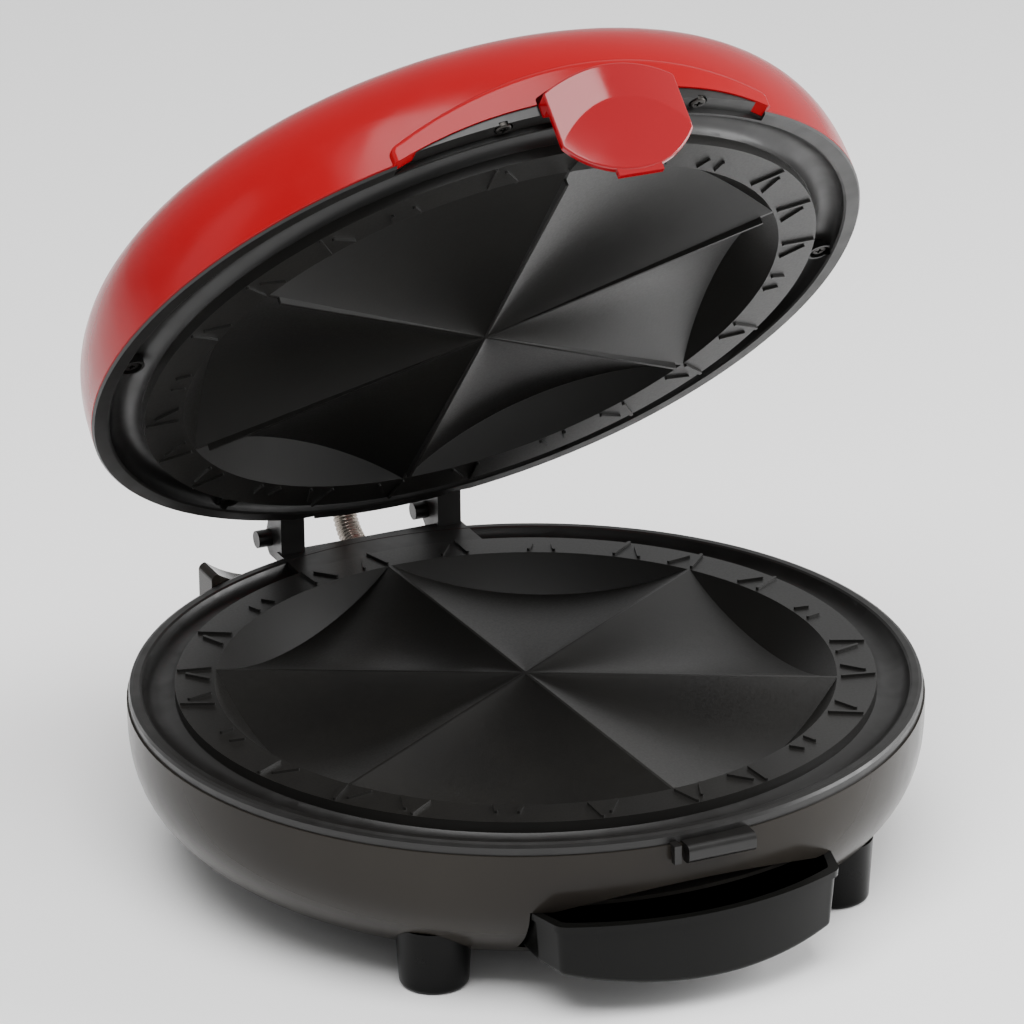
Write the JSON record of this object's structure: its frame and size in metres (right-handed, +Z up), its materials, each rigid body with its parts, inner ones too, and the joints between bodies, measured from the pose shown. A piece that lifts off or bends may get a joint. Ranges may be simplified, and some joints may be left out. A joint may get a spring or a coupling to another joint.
{
  "type": "quesadilla maker",
  "caption": "Round countertop quesadilla maker: domed red lid hinged over a dark bowl-shaped base, wedge-ridged non-stick plates, front latch, drip tray and short feet.",
  "frame": {"origin": "centre of the round base, on the surface that the feet stand on", "axes": "+Z up, the latch and drip tray at -Y, the hinge at +Y, +X to the right seen from the front"},
  "size_m": [0.2426, 0.2753, 0.2617],
  "materials": {
    "base_housing": "dark grey-brown moulded plastic, satin gloss",
    "black_plastic": "black moulded plastic",
    "black_gloss": "black moulded plastic, glossy",
    "tray_plastic": "black moulded plastic, satin gloss",
    "foot_plastic": "black moulded plastic",
    "nonstick_plate": "die-cast aluminium with a satin black non-stick coating",
    "red_gloss": "red moulded plastic, glossy",
    "red_gloss_latch": "red moulded plastic, glossy",
    "steel": "plain steel",
    "dark_screw": "blackened steel",
    "terminal_plastic": "cream plastic"
  },
  "bodies": {
    "base": {"base_shell": "base_housing", "bottom_cover": "black_plastic", "cover_screws": "steel", "foot_front_left": "foot_plastic", "foot_front_right": "foot_plastic", "foot_rear_left": "foot_plastic", "foot_rear_right": "foot_plastic", "foot_screws": "steel", "base_trim_ring": "black_gloss", "lower_plate": "nonstick_plate", "lower_heating_element": "steel", "lower_reflector": "steel", "lower_plate_screws": "steel", "thermostat": "steel", "thermal_fuse": "steel", "terminal_block": "terminal_plastic", "cord_gland": "black_plastic", "tray_housing": "black_plastic", "hinge_pin_left": "steel", "hinge_pin_right": "steel", "conduit_base_ferrule": "black_plastic", "wire_conduit": "steel"},
    "lid": {"lid_shell": "red_gloss", "lid_bezel": "black_gloss", "lid_screws": "dark_screw", "upper_plate": "nonstick_plate", "upper_heating_element": "steel", "upper_reflector": "steel", "upper_plate_screws": "steel", "conduit_lid_ferrule": "black_plastic", "latch_pin": "steel"},
    "latch": {"latch": "red_gloss_latch"},
    "tray": {"drip_tray": "tray_plastic"}
  },
  "joints": [
    {"name": "lid_hinge", "type": "hinge", "parent": "base", "child": "lid", "pos_m": [0, 0.1229, 0.0741], "axis": [1, 0, 0], "range_deg": [-46.5, 48.5], "deforming": ["wire_conduit"]},
    {"name": "latch_pivot", "type": "hinge", "parent": "lid", "child": "latch", "pos_m": [0.005, -0.04402, 0.24994], "axis": [1, 0, 0], "range_deg": [-12, 0], "stiffness_Nm_per_rad": 0.2},
    {"name": "tray_slide", "type": "slide", "parent": "base", "child": "tray", "axis": [0, -1, 0], "range_m": [0, 0.045]}
  ]
}
